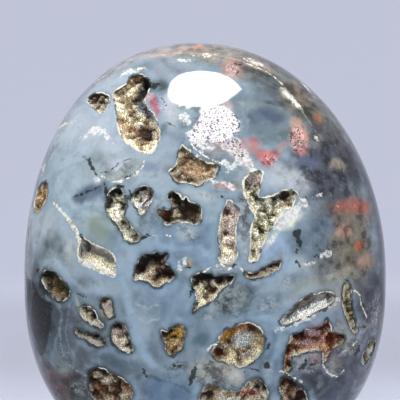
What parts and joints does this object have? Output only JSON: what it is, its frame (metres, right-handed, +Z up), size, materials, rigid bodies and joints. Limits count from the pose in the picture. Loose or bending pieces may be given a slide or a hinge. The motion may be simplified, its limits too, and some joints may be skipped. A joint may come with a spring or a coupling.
{
  "type": "ocean jasper freeform",
  "caption": "Polished freestanding ocean jasper, an egg-shaped stone with open pockets lined with small crystals, standing on a small flat base.",
  "frame": {"origin": "middle of the flat base that the stone stands on", "axes": "+Z up along the stone's height, the stone's front faces -Y, +X to the right as seen from the front"},
  "size_m": [0.0722, 0.048, 0.0824],
  "materials": {
    "chalcedony": "high polish, slightly translucent",
    "gold_druse": "rough sparkling crystals",
    "brown_druse": "rough sparkling crystals",
    "cream_druse": "rough sparkling crystals",
    "olive_druse": "rough sparkling crystals",
    "white_druse": "rough sparkling crystals"
  },
  "bodies": {
    "root": {"stone": "chalcedony", "crust_gold_shoulder": "gold_druse", "crust_shoulder_notch": "brown_druse", "crust_left_rim_slit": "gold_druse", "crust_grey_crescent": "white_druse", "crust_twin_left": "olive_druse", "crust_twin_right": "olive_druse", "crust_dark_maple": "brown_druse", "crust_bronze_shield": "gold_druse", "crust_rose_column": "cream_druse", "crust_pepper_fork": "olive_druse", "crust_brown_star": "brown_druse", "crust_kite": "cream_druse", "crust_kite_tail": "brown_druse", "crust_amber_claw": "gold_druse", "crust_honey_basin": "gold_druse", "crust_foot_basin": "cream_druse", "crust_mahogany_arch": "brown_druse", "crust_mahogany_foot": "brown_druse", "crust_silver_slot": "white_druse", "crust_gold_sliver": "gold_druse", "crust_grey_bean": "olive_druse", "crust_moss_bean": "olive_druse", "crust_chain_first": "cream_druse", "crust_chain_second": "cream_druse", "crust_chain_third": "cream_druse", "crust_chain_fourth": "cream_druse", "crust_foot_cluster": "cream_druse", "crust_back_basin": "gold_druse", "crust_back_shoulder": "cream_druse", "crust_back_fork": "olive_druse", "crust_back_maple": "brown_druse", "crust_back_arch": "brown_druse", "crust_back_crescent": "white_druse", "crust_back_claw": "gold_druse", "crust_back_slot": "white_druse", "crust_back_star": "brown_druse", "crust_back_bean": "olive_druse"}
  },
  "joints": []
}
